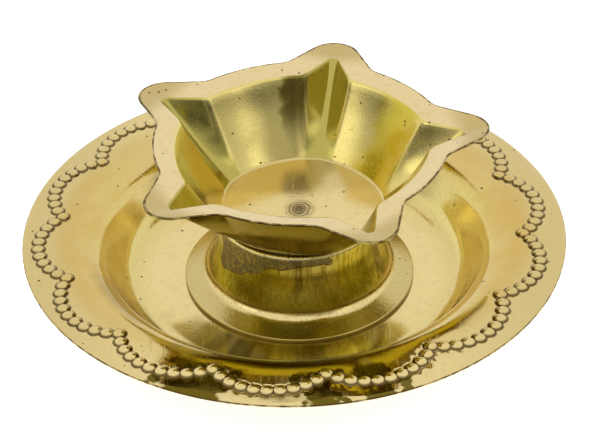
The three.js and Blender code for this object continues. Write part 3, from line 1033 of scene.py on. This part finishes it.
def solder_smear(tree, place, height):
    """Share of the solder that ran over the stem's front, and further down on its left."""
    centred = tree.vector("SUBTRACT", place, (*STEM_CENTRE, 0))
    ragged = tree.between(tree.noise(place, 0.2, 1.0), 0.3, 0.7, -0.6, 0.6)
    around = tree.plus(tree.azimuth(centred), tree.times(ragged, 2))
    lower = tree.plus(tree.between(around, *SMEAR_SLOPE), ragged)
    from_top = tree.minus(STEM_TOP - SMEAR_BELOW_TOP, height)
    inside = tree.maths("MINIMUM", tree.minus(height, lower), from_top)
    from_left = tree.minus(around, SMEAR_LEFT)
    along = tree.maths("MINIMUM", from_left, tree.minus(SMEAR_RIGHT, around))
    past_side = tree.rest(tree.maths("DIVIDE", inside, SMEAR_SIDE_MARGIN))
    past_end = tree.rest(tree.maths("DIVIDE", along, SMEAR_END_MARGIN))
    past = tree.hypotenuse(tree.larger(past_side, 0.0), tree.larger(past_end, 0.0))
    return tree.between(past, 1.1, 0.85)


def smeared(tree, place, smear, colour):
    """The stem's colour with grey mottled solder, dark along its edge."""
    mottled = tree.between(tree.noise(place, 1.2, 4.0, 0.7), 0.35, 0.6, 0.45, 0.95)
    colour = tree.mixed(tree.times(smear, mottled), colour, GREY_SOLDER)
    on_edge = tree.between(tree.apart(smear, 0.4), 0.1, 0.4, 0.85, 0.0)
    return tree.mixed(on_edge, colour, BROWN_GRIME_AND_SHADE)


# Finish of the seams


def solder_metal():
    material, tree = new_material("solder_metal")
    mottle = tree.noise(tree.places_mm(), 0.8, 4.0, 0.6)
    colour = tree.mixed(tree.between(mottle, 0.3, 0.7), GREY_SOLDER, PALE_SOLDER)
    roughness = tree.between(mottle, 0.3, 0.7, 0.35, 0.55)
    normal = tree.bump(mottle, 0.15)
    tree.surface(Base_Color=colour, Metallic=1.0, Roughness=roughness, Normal=normal)
    return material


# Stage


def direction(azimuth, elevation):
    """Unit vector towards an azimuth, anticlockwise from +X, and an elevation."""
    around, up = math.radians(azimuth), math.radians(elevation)
    return Vector((math.cos(around) * math.cos(up), math.sin(around) * math.cos(up), math.sin(up)))


def light_world():
    """A white tent, darker low in front, with two soft lights and three dark gaps."""
    world = bpy.data.worlds.new("tent")
    bpy.context.scene.world = world
    world.use_nodes = True
    tree = Tree(world.node_tree)
    way = tree.node("ShaderNodeTexCoord").outputs["Generated"]
    rise = tree.part(way, "Z")
    front = tree.between(tree.part(way, "Y"), 0.25, -0.25)
    low = tree.between(rise, 0.55, 0.05)
    light = tree.between(tree.times(front, low), 0.0, 1.0, 0.97, 0.12)
    for azimuth, elevation, half_width, strength in LIGHT_PATCHES:
        towards = tree.vector("DOT_PRODUCT", way, direction(azimuth, elevation), "Value")
        outer = math.cos(math.radians(half_width))
        inner = math.cos(math.radians(half_width * PATCH_CORE_SHARE))
        patch = tree.between(towards, outer, inner, 0.0, strength)
        light = tree.plus(light, patch)
    light = tree.larger(light, LEAST_LIGHT)
    seen = tree.node("ShaderNodeLightPath").outputs["Is Camera Ray"]
    strength = tree.larger(light, seen)
    shader = tree.node("ShaderNodeBackground", {"Color": WHITE, "Strength": strength})
    tree.node("ShaderNodeOutputWorld", {"Surface": shader.outputs["Background"]})


def make_floor():
    sides = ((-1, -1), (1, -1), (1, 1), (-1, 1))
    corners = [(x * FLOOR_REACH, y * FLOOR_REACH, 0) for x, y in sides]
    floor = placed("floor", corners, [(0, 1, 2, 3)])
    material, tree = new_material("floor_paper")
    paths = tree.node("ShaderNodeLightPath").outputs
    seen = tree.larger(paths["Is Camera Ray"], paths["Is Glossy Ray"])
    seen = tree.larger(seen, paths["Is Transmission Ray"])
    lift = tree.times(seen, FLOOR_LIFT)
    cloudy = tree.noise(tree.places_mm(), 0.02, 2.0)
    tree.surface(
        Base_Color=tree.mixed(cloudy, PAPER, LIGHT_PAPER),
        Roughness=1.0,
        Specular_IOR_Level=0.0,
        Emission_Color=WHITE,
        Emission_Strength=lift,
    )
    floor.data.materials.append(material)


def place_camera():
    elevation, roll = math.radians(CAMERA_ELEVATION), math.radians(CAMERA_ROLL)
    back = Vector((0, -math.cos(elevation), math.sin(elevation)))
    level = Vector((1, 0, 0))
    upright = Vector((0, math.sin(elevation), math.cos(elevation)))
    right = level * math.cos(roll) + upright * math.sin(roll)
    up = upright * math.cos(roll) - level * math.sin(roll)
    spot = (Vector(CAMERA_TARGET) + back * CAMERA_DISTANCE) * MM
    camera = bpy.data.cameras.new("camera")
    camera.lens = CAMERA_LENS
    camera.shift_x = CAMERA_SHIFT_X
    camera.shift_y = CAMERA_SHIFT_Y
    camera.clip_start = 10 * MM
    camera.clip_end = 20
    eye = bpy.data.objects.new("camera", camera)
    eye.matrix_world = Matrix((right, up, back)).transposed().to_4x4()
    eye.location = spot
    bpy.context.scene.collection.objects.link(eye)
    bpy.context.scene.camera = eye


def dress(piece, node, material):
    """The piece stands for a CAD node, rides on the body and takes a finish."""
    piece.data.materials.clear()
    piece.data.materials.append(material)
    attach(piece, "root")
    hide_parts(node)


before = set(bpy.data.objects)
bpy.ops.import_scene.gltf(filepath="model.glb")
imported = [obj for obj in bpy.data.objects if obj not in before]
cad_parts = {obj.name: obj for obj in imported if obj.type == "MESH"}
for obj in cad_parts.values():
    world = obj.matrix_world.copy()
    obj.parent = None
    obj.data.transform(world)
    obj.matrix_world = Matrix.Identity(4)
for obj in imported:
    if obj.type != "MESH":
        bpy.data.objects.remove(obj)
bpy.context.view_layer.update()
place_camera()
light_world()
make_floor()
solder = solder_metal()
dress(make_plate(), "plate", plate_brass())
dress(make_stem(), "stem", stem_brass())
dress(make_bowl(), "bowl", bowl_brass())
dress(make_bowl_seam(), "bowl_solder", solder)
dress(make_foot_seam(), "foot_solder", solder)
bpy.context.scene.view_settings.view_transform = "Standard"
